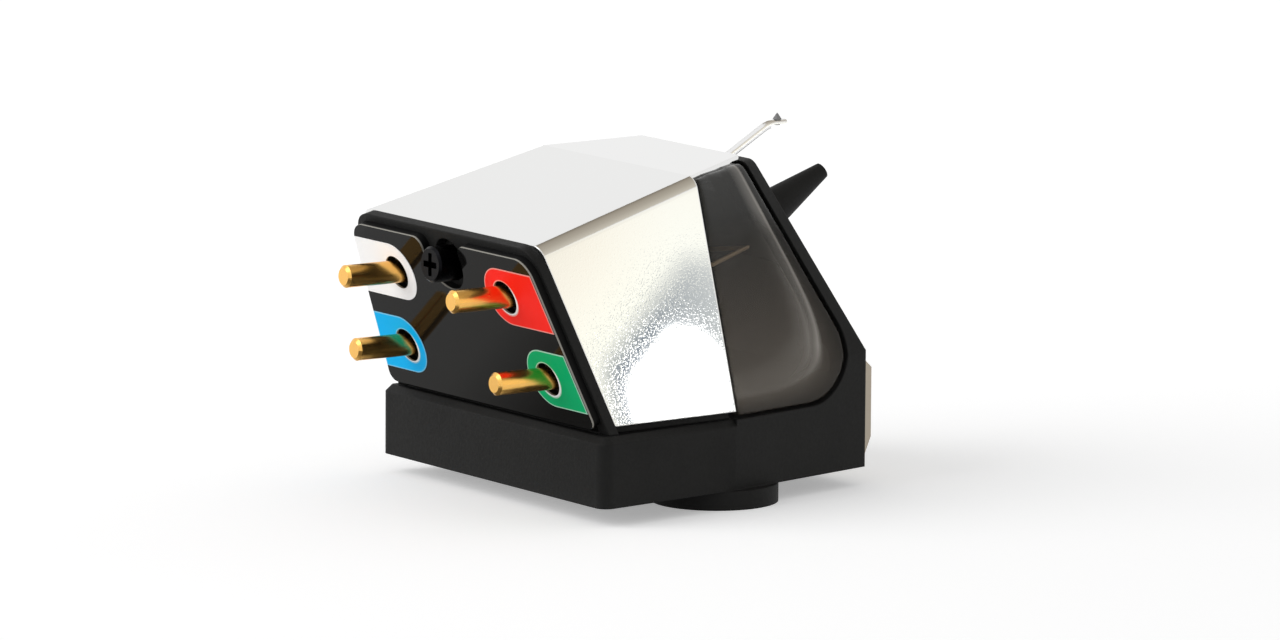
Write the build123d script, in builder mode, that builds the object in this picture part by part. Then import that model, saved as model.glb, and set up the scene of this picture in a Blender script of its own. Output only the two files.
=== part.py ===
from build123d import *
from math import cos, radians, sin, sqrt, tan
import os

# A moving-magnet phono cartridge that lies on its mounting face with the stylus up.
# Origin: midway between the two mounting holes, on the mounting face.
# +Y points to the stylus end, +Z away from the mounting face. Millimetres and degrees.

# Mounting bosses
hole_spacing = 12.7
hole_radius = 1.1
hole_depth = 3.6
boss_radius = 3.35
boss_height = 1.0

# Base plate, six-sided in plan
base_rear = 9.85
base_front = 9.15
base_rear_half = 10.4
base_bend_half = 9.3
base_front_half = 7.15
base_top = 4.7
base_corner_radius = 0.6
base_edge_chamfer = 0.35

# Hood envelope: leaning cross planes, named by where they meet the skirt line
skirt_height = 5.15
rear_foot = -9.81
rear_lean = 21.6
crease_foot = -0.75
crease_lean = 5.7
crease_height = 17.28
rear_roof_slope = 14.5
window_roof_slope = 2.0
side_half_width = 9.29
side_taper = 3.0
side_draft = 10.0
fold_radius = 0.75

# Slanted front frame of the chassis
front_lean = 28.4
front_bend_height = 7.22
front_draft = 14.2
frame_wall = 0.8
frame_corner_radius = 0.45
opening_corner_radius = 2.8
notch_half_width = 2.0
notch_floor = 15.0

# Peg on the front frame
peg_height = 12.87
peg_root_radius = 1.41
peg_length = 6.0
peg_taper = 9.2

# Shield cover
sheet = 0.4
tongue_front = 2.8
tongue_slope = 5.6
tongue_rear_half = 6.75
tongue_front_half = 4.4
tongue_gap = 0.06

# Window
window_wall = 0.8
window_gap = 0.12

# Generator carrier
flange_thickness = 0.58
flange_corner_radius = 1.5
carrier_clearance = 0.15
foot_width = 0.9
seat_behind_pivot = 5.2

# Terminal plate and pins
plate_thickness = 0.5
plate_inset = 0.3
plate_top = 13.87
plate_bottom = 5.0
plate_corner_radius = 1.2
plate_lower_radius = 0.5
plate_hole_radius = 0.9
plate_notch_half = 1.7
plate_notch_floor = 11.3
plate_notch_lead = 0.6
pin_radius = 0.6
pin_length = 3.37
pin_depth = 2.4
pin_chamfer = 0.15
pin_fit = 0.02
upper_pin_from_side = 3.73
upper_pin_height = 11.6
lower_pin_from_side = 2.88
lower_pin_height = 7.4

# Retaining screw
screw_height = 12.72
screw_head_radius = 0.95
screw_head_length = 1.6
screw_head_chamfer = 0.12
screw_head_proud = 0.85
screw_shank_radius = 0.6
screw_shank_length = 3.0
screw_recess_width = 0.32
screw_recess_span = 1.2
screw_recess_depth = 0.45
screw_pocket_clearance = 0.35

# Front plate
front_plate_bottom = 1.5
front_plate_top = 6.7
front_plate_thickness = 0.45
front_plate_upper_bevel = 0.43
front_plate_lower_bevel = 1.08
front_plate_side_gap = 0.1

# Cantilever, stylus and suspension, along the generator's tilted axis
generator_tilt = 30.0
pivot_y = 1.5
pivot_z = 14.82
cantilever_radius = 0.24
cantilever_tail = 0.95
cantilever_rise = 6.95
cantilever_bend_radius = 1.2
cantilever_tip_length = 0.8
cantilever_flat_length = 1.03
stylus_shank_width = 0.22
stylus_shank_length = 0.31
stylus_fit = 0.01
stylus_tip_width = 0.03
stylus_point_width = 0.36
stylus_point_length = 0.34
stylus_from_end = 0.5
magnet_radius = 0.45
magnet_length = 1.2
damper_length = 0.7
damper_radius = 0.95
running_gap = 0.06
holder_length = 0.9
holder_radius = 1.75
tie_wire_radius = 0.09
tie_wire_gap = 0.15

# Pole pieces and coils
pole_ring_radius = 1.4
pole_width = 0.58
coil_radius = 0.95
coil_length = 2.7
coil_fit = 0.03

# Coil leads: route in from the hood's side, up from the generator's axis and forward of the seat
lead_radius = 0.13
lead_flats = 8
lead_gap = 0.2
lead_route = [(2.97, -0.07, 0.1), (1.33, -1.2, 2.54), (1.25, -2.08, 5.16)]

# Lengths that reach past a face or past the whole part when something is cut away
over = 2.0
full_width = 4 * base_rear_half


def slope_of(angle):
    """Rise over run of an angle in degrees."""
    return tan(radians(angle))


def lean_y(foot, lean, height):
    """Y of a leaning cross plane at a height."""
    return foot - slope_of(lean) * (height - skirt_height)


# Heights and places that follow from the driving dimensions
crease_y = lean_y(crease_foot, crease_lean, crease_height)
frame_low = base_top - base_edge_chamfer
front_foot = base_front + slope_of(front_lean) * (front_bend_height - skirt_height)
flange_foot = rear_foot + plate_thickness / cos(radians(rear_lean))
shield_foot = flange_foot + flange_thickness / cos(radians(rear_lean))
frame_foot = front_foot - frame_wall
tongue_foot = tongue_front + slope_of(crease_lean) * (crease_height - skirt_height)
seat_z = pivot_z - seat_behind_pivot * sin(radians(generator_tilt))
seat_y = pivot_y - seat_behind_pivot * cos(radians(generator_tilt))
seat_foot = seat_y + slope_of(generator_tilt) * (seat_z - skirt_height)
screw_face_y = lean_y(rear_foot, rear_lean, screw_height) - screw_head_proud
screw_seat_y = screw_face_y + screw_head_length
pole_offset = pole_ring_radius / sqrt(2)


def lean_plane(foot, lean):
    """Leaning cross plane that faces rearward, with its local y running up the lean."""
    facing = (0, -cos(radians(lean)), -sin(radians(lean)))
    return Plane((0, foot, skirt_height), x_dir=(1, 0, 0), z_dir=facing)


def roof_height(foot, lean, slope):
    """Height at which a leaning cross plane meets a roof that slopes away from the crease."""
    rise = slope_of(slope)
    run = slope_of(lean)
    return (crease_height + rise * (foot + run * skirt_height - crease_y)) / (1 + rise * run)


def side_half(y, height):
    """Half the width of the cover at a place on its side."""
    taper = slope_of(side_taper) * (y - crease_foot)
    draft = slope_of(side_draft) * (height - skirt_height)
    return side_half_width - taper - draft


def pin_half_spacing(from_side, height):
    """Half the distance between the two pins at a height."""
    return side_half(lean_y(rear_foot, rear_lean, height), height) - from_side


upper_pin_half_spacing = pin_half_spacing(upper_pin_from_side, upper_pin_height)
lower_pin_half_spacing = pin_half_spacing(lower_pin_from_side, lower_pin_height)
pin_places = ((upper_pin_half_spacing, upper_pin_height), (lower_pin_half_spacing, lower_pin_height))


def front_half(height):
    """Half the width of the slanted front frame at a height."""
    return base_front_half - slope_of(front_draft) * (height - front_bend_height)


def hood_half(y, height):
    """Half the width of the hood at a place on its side, in front of the crease too."""
    bend_y = lean_y(crease_foot, crease_lean, height)
    if y < bend_y:
        return side_half(y, height)
    bend_half = side_half(bend_y, height)
    share = (y - bend_y) / (lean_y(front_foot, front_lean, height) - bend_y)
    return bend_half + share * (front_half(height) - bend_half)


def hood_face(foot, lean, low_half, high_half, low, high, radius):
    """Section of the hood on a leaning plane: straight drafted sides and rounded upper corners."""
    stretch = 1 / cos(radians(lean))
    low_v = (low - skirt_height) * stretch
    high_v = (high - skirt_height) * stretch
    with BuildSketch(lean_plane(foot, lean)) as section:
        with BuildLine():
            Polyline(
                (-low_half, low_v),
                (low_half, low_v),
                (high_half, high_v),
                (-high_half, high_v),
                close=True,
            )
        make_face()
        if radius > 0:
            fillet(section.vertices().group_by(Axis.Y)[-1], radius)
    return section.sketch


def cover_section(foot, lean, inset, low, radius):
    """Section of the cover's envelope behind the crease, moved in by an inset."""
    high = roof_height(foot, lean, rear_roof_slope) - inset / cos(radians(rear_roof_slope))
    side_inset = inset / cos(radians(side_draft))
    low_half = side_half(lean_y(foot, lean, low), low) - side_inset
    high_half = side_half(lean_y(foot, lean, high), high) - side_inset
    return hood_face(foot, lean, low_half, high_half, low, high, radius)


def front_section(foot, lean, inset, low, radius):
    """Section of the envelope on the slanted front, moved in by an inset."""
    high = roof_height(foot, lean, window_roof_slope) - inset / cos(radians(window_roof_slope))
    side_inset = inset / cos(radians(front_draft))
    low_half = front_half(low) - side_inset
    high_half = front_half(high) - side_inset
    return hood_face(foot, lean, low_half, high_half, low, high, radius)


def base_plan(level):
    """Six-sided plan of the base at a level."""
    with BuildSketch(Plane.XY.offset(level)) as plan:
        with BuildLine():
            Polyline(
                (-base_rear_half, -base_rear),
                (base_rear_half, -base_rear),
                (base_bend_half, crease_foot),
                (base_front_half, base_front),
                (-base_front_half, base_front),
                (-base_bend_half, crease_foot),
                close=True,
            )
        make_face()
        fillet(plan.vertices().group_by(Axis.Y)[0], base_corner_radius)
    return plan.sketch


def window_outline(gap, rear, inner=0.0):
    """Side view of the opening for the window, with its rounded lower front corner."""
    low = base_top + gap
    high = crease_height + over
    foot = frame_foot - (gap + inner) / cos(radians(front_lean))
    with BuildSketch(Plane.YZ) as outline:
        with BuildLine():
            Polyline(
                (lean_y(crease_foot, crease_lean, low) + rear, low),
                (lean_y(foot, front_lean, low), low),
                (lean_y(foot, front_lean, high), high),
                (lean_y(crease_foot, crease_lean, high) + rear, high),
                close=True,
            )
        make_face()
        corner = outline.vertices().sort_by(Axis.X)[-1]
        fillet(corner, opening_corner_radius - gap - inner)
    return outline.sketch


def tongue_section(foot, half, thickness):
    """Section of the cover's tongue on a plane that leans like the crease."""
    high = roof_height(foot, crease_lean, tongue_slope)
    with BuildSketch(lean_plane(foot, crease_lean)) as section:
        with Locations((0, (high - skirt_height) / cos(radians(crease_lean)))):
            Rectangle(2 * half, thickness, align=(Align.CENTER, Align.MAX))
    return section.sketch


def cantilever_notch():
    """Slot for the cantilever, open at the top, seen from the rear."""
    with BuildSketch(Plane.XZ) as notch:
        with Locations((0, notch_floor)):
            Rectangle(2 * notch_half_width, crease_height, align=(Align.CENTER, Align.MIN))
    return notch.sketch


def cross_plane(y):
    """Upright plane across the part at y, facing rearward, with local x and y along X and Z."""
    return Plane((0, y, 0), x_dir=(1, 0, 0), z_dir=(0, -1, 0))


def up_lean(height):
    """Distance up the rear lean from the skirt line to a height."""
    return (height - skirt_height) / cos(radians(rear_lean))


def plate_half(height):
    """Half the width of the terminal plate at a height."""
    return side_half(lean_y(rear_foot, rear_lean, height), height) - plate_inset


def pin_inner_y(height):
    """Y of a pin's inner end, a set depth behind the face of the terminal plate."""
    return lean_y(rear_foot, rear_lean, height) + pin_depth


def axis_point(along):
    """Y and Z of a point on the generator's axis, at a distance in front of the pivot."""
    tilt = radians(generator_tilt)
    return (pivot_y + along * cos(tilt), pivot_z + along * sin(tilt))


def generator_plane(along):
    """Plane across the generator's axis, at a distance in front of the pivot, facing rearward."""
    tilt = radians(generator_tilt)
    return Plane((0, *axis_point(along)), x_dir=(1, 0, 0), z_dir=(0, -cos(tilt), -sin(tilt)))


# Front envelope shared by the chassis frame and the window
with BuildPart() as front_envelope:
    crease_face = cover_section(crease_foot, crease_lean, 0, frame_low, fold_radius)
    front_face = front_section(front_foot, front_lean, 0, frame_low, frame_corner_radius)
    loft(sections=[crease_face, front_face], ruled=True)
    extrude(base_plan(frame_low), amount=crease_height, mode=Mode.INTERSECT)

# Chassis: base plate, bosses, slanted front frame and peg in one moulding
with BuildPart() as chassis:
    extrude(base_plan(boss_height), amount=base_top - boss_height)
    rear_top_edge = chassis.faces().sort_by(Axis.Y)[0].edges().sort_by(Axis.Z)[-1]
    chamfer(rear_top_edge, base_edge_chamfer)
    with BuildSketch(Plane.XY):
        with Locations((-hole_spacing / 2, 0), (hole_spacing / 2, 0)):
            Circle(boss_radius)
    extrude(amount=boss_height)
    add(front_envelope.part)
    extrude(window_outline(0, -over), amount=full_width, both=True, mode=Mode.SUBTRACT)
    extrude(cantilever_notch(), amount=-full_width, mode=Mode.SUBTRACT)
    peg_root = (0, lean_y(front_foot, front_lean, peg_height), peg_height)
    peg_side = (0, -sin(radians(front_lean)), cos(radians(front_lean)))
    peg_plane = Plane(peg_root, x_dir=(1, 0, 0), z_dir=peg_side)
    peg_tip_radius = peg_root_radius - slope_of(peg_taper) * peg_length
    with BuildSketch(peg_plane):
        with BuildLine():
            Polyline(
                (0, 0),
                (peg_root_radius, 0),
                (peg_tip_radius, peg_length),
                (0, peg_length),
                close=True,
            )
        make_face()
    revolve(axis=Axis(peg_root, peg_plane.y_dir))
    with BuildSketch(Plane.XY):
        with Locations((-hole_spacing / 2, 0), (hole_spacing / 2, 0)):
            Circle(hole_radius)
    extrude(amount=hole_depth, mode=Mode.SUBTRACT)

# Smoked window: side walls, front wall, floor and a roof that is rebated for the cover's tongue
with BuildPart() as window_cavity:
    rear_face = cover_section(crease_foot, crease_lean, window_wall, base_top, 0)
    front_face = front_section(front_foot, front_lean, window_wall, base_top, 0)
    loft(sections=[rear_face, front_face], ruled=True)
    inner_plan = offset(base_plan(base_top), -window_wall)
    extrude(inner_plan, amount=crease_height, mode=Mode.INTERSECT)
    inner_outline = window_outline(window_gap, -over, window_wall)
    extrude(inner_outline, amount=full_width, both=True, mode=Mode.INTERSECT)

with BuildPart() as front_window:
    add(front_envelope.part)
    extrude(window_outline(window_gap, window_gap), amount=full_width, both=True, mode=Mode.INTERSECT)
    add(window_cavity.part, mode=Mode.SUBTRACT)
    rebate_rear = tongue_section(crease_foot, tongue_rear_half + tongue_gap, sheet + tongue_gap)
    rebate_front = tongue_section(tongue_foot, tongue_front_half + tongue_gap, sheet + tongue_gap)
    loft(sections=[rebate_rear, rebate_front], ruled=True, mode=Mode.SUBTRACT)
    extrude(cantilever_notch(), amount=-full_width, mode=Mode.SUBTRACT)

# Shield cover: one folded sheet with a crease and a front tongue
with BuildPart() as shield_cover:
    rear_face = cover_section(shield_foot, rear_lean, 0, skirt_height, fold_radius)
    crease_face = cover_section(crease_foot, crease_lean, 0, skirt_height, fold_radius)
    loft(sections=[rear_face, crease_face], ruled=True)
    inner_radius = fold_radius - sheet
    rear_void = cover_section(shield_foot - over, rear_lean, sheet, skirt_height - over, inner_radius)
    crease_void = cover_section(crease_foot + over, crease_lean, sheet, skirt_height - over, inner_radius)
    loft(sections=[rear_void, crease_void], ruled=True, mode=Mode.SUBTRACT)
    tongue_rear = tongue_section(crease_foot, tongue_rear_half, sheet)
    tongue_end = tongue_section(tongue_foot, tongue_front_half, sheet)
    loft(sections=[tongue_rear, tongue_end], ruled=True)

# Generator carrier: rear flange and the block inside the cover that holds pins, screw and generator
with BuildPart() as generator_carrier:
    flange_rear = cover_section(flange_foot, rear_lean, 0, base_top, flange_corner_radius)
    flange_front = cover_section(shield_foot, rear_lean, 0, base_top, flange_corner_radius)
    loft(sections=[flange_rear, flange_front], ruled=True)
    plug_inset = sheet + carrier_clearance
    plug_rear = cover_section(shield_foot, rear_lean, plug_inset, base_top, 0)
    plug_front = cover_section(seat_foot, generator_tilt, plug_inset, base_top, 0)
    loft(sections=[plug_rear, plug_front], ruled=True)
    split(bisect_by=lean_plane(crease_foot - carrier_clearance, crease_lean), keep=Keep.TOP)
    with BuildSketch(lean_plane(flange_foot, rear_lean)):
        slot_half = side_half(flange_foot, base_top) - foot_width
        Rectangle(2 * slot_half, 2 * (skirt_height - base_top))
    extrude(amount=-flange_thickness, mode=Mode.SUBTRACT)
    for half_spacing, height in pin_places:
        with BuildSketch(cross_plane(pin_inner_y(height))):
            with Locations((-half_spacing, height), (half_spacing, height)):
                Circle(pin_radius + pin_fit)
        extrude(amount=full_width, mode=Mode.SUBTRACT)
    with BuildSketch(cross_plane(screw_seat_y)):
        with Locations((0, screw_height)):
            Circle(screw_head_radius + screw_pocket_clearance)
    extrude(amount=full_width, mode=Mode.SUBTRACT)
    with BuildSketch(cross_plane(screw_seat_y)):
        with Locations((0, screw_height)):
            Circle(screw_shank_radius + pin_fit)
    extrude(amount=-screw_shank_length, mode=Mode.SUBTRACT)

# Terminal plate with clearance holes for the pins and a notch for the screw head
with BuildPart() as terminal_plate:
    with BuildSketch(lean_plane(rear_foot, rear_lean)) as plate_face:
        with BuildLine():
            Polyline(
                (-plate_half(plate_bottom), up_lean(plate_bottom)),
                (plate_half(plate_bottom), up_lean(plate_bottom)),
                (plate_half(plate_top), up_lean(plate_top)),
                (-plate_half(plate_top), up_lean(plate_top)),
                close=True,
            )
        make_face()
        fillet(plate_face.vertices().group_by(Axis.Y)[-1], plate_corner_radius)
        fillet(plate_face.vertices().group_by(Axis.Y)[0], plate_lower_radius)
        with Locations((0, up_lean(plate_notch_floor) + plate_notch_half)):
            Circle(plate_notch_half, mode=Mode.SUBTRACT)
        notch_height = up_lean(plate_top) - up_lean(plate_notch_floor) - plate_notch_half
        with Locations((0, up_lean(plate_top) - notch_height / 2)):
            Rectangle(2 * plate_notch_half, notch_height, mode=Mode.SUBTRACT)
        notch_corners = plate_face.vertices().group_by(Axis.Y)[-1].sort_by(Axis.X)[1:3]
        fillet(notch_corners, plate_notch_lead)
    extrude(amount=-plate_thickness)
    with BuildSketch(Plane.XZ):
        for half_spacing, height in pin_places:
            with Locations((-half_spacing, height), (half_spacing, height)):
                Circle(plate_hole_radius)
    extrude(amount=full_width, mode=Mode.SUBTRACT)


def terminal_pin(x, height):
    """Round pin along Y with a chamfered outer end."""
    with BuildPart() as pin:
        with BuildSketch(cross_plane(pin_inner_y(height))):
            with Locations((x, height)):
                Circle(pin_radius)
        extrude(amount=pin_length + pin_depth)
        chamfer(pin.faces().sort_by(Axis.Y)[0].edges(), pin_chamfer)
    return pin


terminal_pin_white = terminal_pin(-upper_pin_half_spacing, upper_pin_height)
terminal_pin_red = terminal_pin(upper_pin_half_spacing, upper_pin_height)
terminal_pin_blue = terminal_pin(-lower_pin_half_spacing, lower_pin_height)
terminal_pin_green = terminal_pin(lower_pin_half_spacing, lower_pin_height)

# Retaining screw with a cross recess
with BuildPart() as retaining_screw:
    with BuildSketch(cross_plane(screw_seat_y)):
        with Locations((0, screw_height)):
            Circle(screw_shank_radius)
    extrude(amount=-screw_shank_length)
    with BuildSketch(cross_plane(screw_seat_y)):
        with Locations((0, screw_height)):
            Circle(screw_head_radius)
    extrude(amount=screw_head_length)
    head_face = retaining_screw.faces().sort_by(Axis.Y)[0]
    chamfer(head_face.edges(), screw_head_chamfer)
    with BuildSketch(cross_plane(screw_face_y)):
        with Locations((0, screw_height)):
            Rectangle(screw_recess_span, screw_recess_width)
            Rectangle(screw_recess_width, screw_recess_span)
    extrude(amount=-screw_recess_depth, mode=Mode.SUBTRACT)

# Pale bevelled plate on the front of the base
with BuildPart() as front_plate:
    outer_face = base_front + front_plate_thickness
    with BuildSketch(Plane.YZ):
        with BuildLine():
            Polyline(
                (base_front, front_plate_bottom),
                (outer_face, front_plate_bottom + front_plate_lower_bevel),
                (outer_face, front_plate_top - front_plate_upper_bevel),
                (base_front, front_plate_top),
                close=True,
            )
        make_face()
    extrude(amount=base_front_half - front_plate_side_gap, both=True)

# Cantilever: a straight rise along the generator's axis, a bend and a flattened level tip
with BuildPart() as cantilever:
    with BuildLine(Plane.YZ) as route:
        rise = Line(axis_point(-cantilever_tail), axis_point(cantilever_rise))
        bend = JernArc(rise @ 1, rise % 1, cantilever_bend_radius, -generator_tilt)
        tip = Line(bend @ 1, bend @ 1 + bend % 1 * cantilever_tip_length)
    with BuildSketch(generator_plane(-cantilever_tail)):
        Circle(cantilever_radius)
    sweep(path=route.line)
    tip_y = (tip @ 1).Y
    tip_z = (tip @ 1).Z
    with BuildSketch(Plane.YZ):
        with Locations((tip_y, tip_z)):
            flat_length = 2 * cantilever_flat_length
            Rectangle(flat_length, cantilever_radius, align=(Align.CENTER, Align.MAX))
    extrude(amount=2 * cantilever_radius, both=True, mode=Mode.SUBTRACT)
    stylus_y = tip_y - stylus_from_end
    with BuildSketch(Plane.XY.offset(tip_z)):
        with Locations((0, stylus_y)):
            shank_hole = stylus_shank_width + 2 * stylus_fit
            Rectangle(shank_hole, shank_hole)
    extrude(amount=cantilever_radius, mode=Mode.SUBTRACT)

# Stylus: a square shank through the cantilever's tip and a four-sided point above it
with BuildPart() as stylus:
    point_base = tip_z + cantilever_radius
    with BuildSketch(Plane.XY.offset(point_base)):
        with Locations((0, stylus_y)):
            Rectangle(stylus_shank_width, stylus_shank_width)
    extrude(amount=-stylus_shank_length)
    with BuildSketch(Plane.XY.offset(point_base)):
        with Locations((0, stylus_y)):
            Rectangle(stylus_point_width, stylus_point_width)
    with BuildSketch(Plane.XY.offset(point_base + stylus_point_length)):
        with Locations((0, stylus_y)):
            Rectangle(stylus_tip_width, stylus_tip_width)
    loft()

# Magnet behind the cantilever's inner end
with BuildPart() as magnet:
    with BuildSketch(generator_plane(-cantilever_tail)):
        Circle(magnet_radius)
    extrude(amount=magnet_length)

# Damper ring round the cantilever at the pivot
with BuildPart() as damper_ring:
    with BuildSketch(generator_plane(damper_length / 2)):
        Circle(damper_radius)
        Circle(cantilever_radius + running_gap, mode=Mode.SUBTRACT)
    extrude(amount=damper_length)

# Suspension holder, a disc with the damper's bore
with BuildPart() as suspension_holder:
    with BuildSketch(generator_plane(holder_length / 2)):
        Circle(holder_radius)
        Circle(damper_radius + running_gap, mode=Mode.SUBTRACT)
    extrude(amount=holder_length)

# Tie wire from the carrier to the magnet
with BuildPart() as tie_wire:
    tie_wire_end = -cantilever_tail - magnet_length - tie_wire_gap
    with BuildSketch(generator_plane(tie_wire_end)):
        Circle(tie_wire_radius)
    extrude(amount=seat_behind_pivot + tie_wire_end)


def pole_piece(x, up):
    """Square pole bar from the suspension holder to the carrier."""
    with BuildPart() as pole:
        with BuildSketch(generator_plane(-holder_length / 2)):
            with Locations((x, up)):
                Rectangle(pole_width, pole_width)
        extrude(amount=seat_behind_pivot - holder_length / 2)
    return pole


def coil(x, up):
    """Winding round a pole piece, against the carrier."""
    bore_width = pole_width + 2 * coil_fit
    with BuildPart() as winding:
        with BuildSketch(generator_plane(coil_length - seat_behind_pivot)):
            with Locations((x, up)):
                Circle(coil_radius)
                Rectangle(bore_width, bore_width, mode=Mode.SUBTRACT)
        extrude(amount=coil_length)
    return winding


def lead_wire(side):
    """Copper lead from the carrier past the window to a coil, its round drawn with a few flats."""
    seat = generator_plane(-seat_behind_pivot)
    points = []
    for from_side, up, forward in lead_route:
        place = seat.from_local_coords((0, up, -forward))
        points.append((side * (hood_half(place.Y, place.Z) - from_side), up, -forward))
    points.append((side * (pole_offset + coil_radius + lead_gap), -pole_offset, lead_gap - coil_length))
    with BuildPart() as lead:
        with BuildLine(seat) as route:
            Polyline(*points)
        with BuildSketch(Plane(route.line @ 0, z_dir=route.line % 0)):
            RegularPolygon(lead_radius, lead_flats)
        sweep(path=route.line, transition=Transition.RIGHT)
    return lead


pieces = {
    "chassis": chassis,
    "front_window": front_window,
    "shield_cover": shield_cover,
    "generator_carrier": generator_carrier,
    "terminal_plate": terminal_plate,
    "terminal_pin_white": terminal_pin_white,
    "terminal_pin_blue": terminal_pin_blue,
    "terminal_pin_red": terminal_pin_red,
    "terminal_pin_green": terminal_pin_green,
    "retaining_screw": retaining_screw,
    "front_plate": front_plate,
    "cantilever": cantilever,
    "stylus": stylus,
    "magnet": magnet,
    "damper_ring": damper_ring,
    "suspension_holder": suspension_holder,
    "tie_wire": tie_wire,
    "lead_wire_left": lead_wire(-1),
    "lead_wire_right": lead_wire(1),
}
for row, up in (("lower", -pole_offset), ("upper", pole_offset)):
    for column, x in (("left", -pole_offset), ("right", pole_offset)):
        pieces[f"pole_piece_{row}_{column}"] = pole_piece(x, up)
        pieces[f"coil_{row}_{column}"] = coil(x, up)

os.makedirs("parts", exist_ok=True)
for name, piece in pieces.items():
    piece.part.label = name
    export_step(piece.part, f"parts/{name}.step")
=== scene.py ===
"""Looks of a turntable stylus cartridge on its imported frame: metres, +Y to the stylus, +Z up."""
from math import cos, radians, sin

import bpy
from mathutils import Matrix, Vector


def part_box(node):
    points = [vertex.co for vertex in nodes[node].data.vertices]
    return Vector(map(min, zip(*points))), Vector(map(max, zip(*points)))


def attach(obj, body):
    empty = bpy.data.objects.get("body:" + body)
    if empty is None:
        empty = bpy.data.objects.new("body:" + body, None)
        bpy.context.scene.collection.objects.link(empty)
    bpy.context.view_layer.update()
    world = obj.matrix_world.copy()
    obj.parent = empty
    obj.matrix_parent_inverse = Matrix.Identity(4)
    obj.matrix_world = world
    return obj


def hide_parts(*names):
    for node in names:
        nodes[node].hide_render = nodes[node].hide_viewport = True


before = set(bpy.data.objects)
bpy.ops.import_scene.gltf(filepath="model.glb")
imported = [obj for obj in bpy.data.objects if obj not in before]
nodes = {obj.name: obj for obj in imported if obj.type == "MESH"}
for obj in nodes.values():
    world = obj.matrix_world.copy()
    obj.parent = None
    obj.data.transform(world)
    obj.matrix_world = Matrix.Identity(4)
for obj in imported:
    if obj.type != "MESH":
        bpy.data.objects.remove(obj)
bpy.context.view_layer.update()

MM = 0.001
BODY = "cartridge"

# Camera of the photograph: turned round the part, lifted, rolled a little, far away with a long lens
CAMERA_AZIMUTH = 54.99
CAMERA_ELEVATION = 9.089
CAMERA_ROLL = 0.385
CAMERA_DISTANCE = 495.836 * MM
CAMERA_LENS = 264.96
CAMERA_AIM = Vector((0, 0.153, 9.057)) * MM
CAMERA_SLIDE = -0.425 * MM
CAMERA_LIFT = -0.423 * MM

# Rear plate: where its outer face leans, how its sides draw in, and the skin that shows as a cut line
PLATE_LEAN = 21.6
PLATE_FOOT = Vector((0, -9.81, 5.15)) * MM
PLATE_FOOT_HALF = 9.465 * MM
PLATE_SIDE_SLOPE = -0.1447
PLATE_SKIN = 0.12 * MM
PLATE_SKIN_FADE = 0.04 * MM

# Colour fields round the terminal pins, and the white rings under them, whose crescents are a painted
# highlight
FIELD_RADIUS = 1.65 * MM
FIELD_OPENING = 0.99 * MM
# The opening's shift bares the white ring as a crescent at the lower right: a painted highlight on the
# hole's edge
FIELD_OPENING_SHIFT = Vector((0.07, -0.07, 0)) * MM
FIELD_THICKNESS = 0.03 * MM
FIELD_BORDER = 0.06 * MM
FIELD_EDGE_GAP = 0.05 * MM
FIELD_OVERRUN = 1.3
FIELD_STEPS = 64
RING_RADIUS = 1.25 * MM
RING_HOLE = 0.92 * MM
RING_THICKNESS = 0.015 * MM

# Window: the rounding of its edges, the leaning lines of its front and rear, the painted highlight band in
# its rim and the painted shadow line along its rear edge
WINDOW_MERGE = 0.0005 * MM
WINDOW_GRID = 0.11 * MM
WINDOW_ROLLS = 50
WINDOW_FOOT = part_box("front_window")[0][2]
WINDOW_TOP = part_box("front_window")[1][2]
WINDOW_FRONT = Vector((0, 9.333, 5.15)) * MM
WINDOW_FRONT_LEAN = 28.4
WINDOW_REAR = Vector((0, -0.75, 5.15)) * MM
WINDOW_REAR_LEAN = 5.7
WINDOW_CORNER = 7.8 * MM
WINDOW_RIM = 3 * MM
# Painted shadow line along the window's rear edge: its width and its fade
WINDOW_SHADOW_LINE = 0.22 * MM
WINDOW_SHADOW_FADE = 0.06 * MM

# Near side of the cover, and the card beside the part that it mirrors: a glare in a blue-grey band
SIDE_NORMAL = Vector((0.9835, 0.0515, 0.1734))
SIDE_CENTRE = Vector((9.0, -5.0, 10.5)) * MM
CARD_DISTANCE = 90 * MM
CARD_GLOW = 1.32
GLARE_GLOW = 4.0
GLARE_PLACE = Vector((1.5, -4.6, 0)) * MM
GLARE_RADIUS = 3.75 * MM
GLARE_RIM = 0.35 * MM
GLARE_CUT = -1.35 * MM
BAND_PLACE = Vector((3.26, -3.89, 0)) * MM
BAND_RADIUS = 6.4 * MM
BAND_OUTWARD = Vector((-0.663, 0.749, 0))
BAND_EDGE = -0.2 * MM
BAND_ALONG = Vector((0.887, 0.461, 0))
BAND_DARK = -2.0 * MM
BAND_PALE = 5.0 * MM
CREAM_END = 9.7 * MM
CARD_SIZE = 60 * MM

# Felt that the cover's fold and the rear plate mirror
FOLD_NORMAL = Vector((0.7, -0.1, 0.7))
FLAG_DISTANCE = 200 * MM
FLAG_REACH = 280 * MM
FLAG_WIDTH = 120 * MM
FELT_PLACE = Vector((-7, -36, 0.2)) * MM
FELT_WIDTH = 48 * MM
FELT_LENGTH = 46 * MM

# Light: a soft lamp behind and to the left, an even room, and a floor lifted to white
KEY_PLACE = Vector((-0.18, -0.6, 0.34))
KEY_AIM = Vector((0, 0, 0.01))
KEY_SIZE = 0.7
KEY_POWER = 3.0
ROOM_LIGHT = 0.5
FLOOR_SIZE = 6
FLOOR_LIFT_NEAR = 0.33
FLOOR_LIFT_FAR = 0.42
FLOOR_NEAR = -0.02
FLOOR_FAR = 0.08


def linear(colour):
    """Linear RGBA of an sRGB hex colour."""
    channels = [int(colour[i:i + 2], 16) / 255 for i in (1, 3, 5)]
    return [c / 12.92 if c <= 0.04045 else ((c + 0.055) / 1.055) ** 2.4 for c in channels] + [1.0]


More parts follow.
